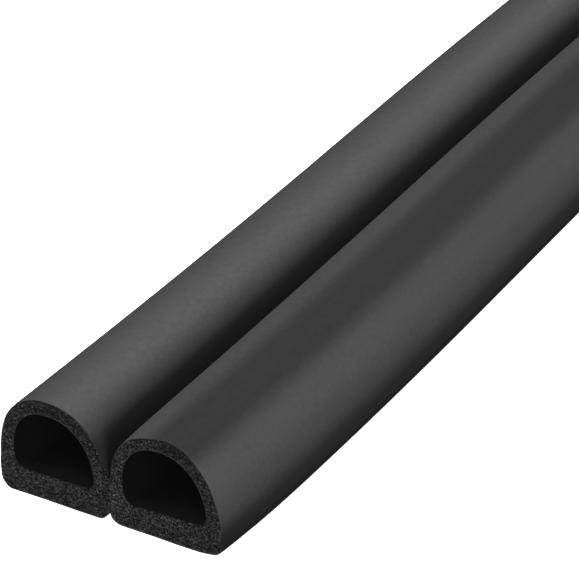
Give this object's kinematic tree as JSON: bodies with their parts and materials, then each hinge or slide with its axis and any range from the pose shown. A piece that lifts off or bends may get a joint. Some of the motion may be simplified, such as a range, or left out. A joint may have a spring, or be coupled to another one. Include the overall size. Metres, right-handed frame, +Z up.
{
  "type": "door seal strip",
  "caption": "Straight length of twin D-profile door seal in black cellular rubber: two hollow D sections on flat bases, joined side by side by a tear web.",
  "frame": {"origin": "middle of the strip's flat base, half way along its length and between the two D sections", "axes": "+Y along the strip, +Z up from the flat bases to the crowns, +X across the two D sections"},
  "size_m": [0.0178, 1, 0.008],
  "materials": {
    "cellular_rubber": "matt charcoal skin, open fine cells on the cut ends"
  },
  "bodies": {
    "root": {"twin_d_seal": "cellular_rubber"}
  },
  "joints": []
}
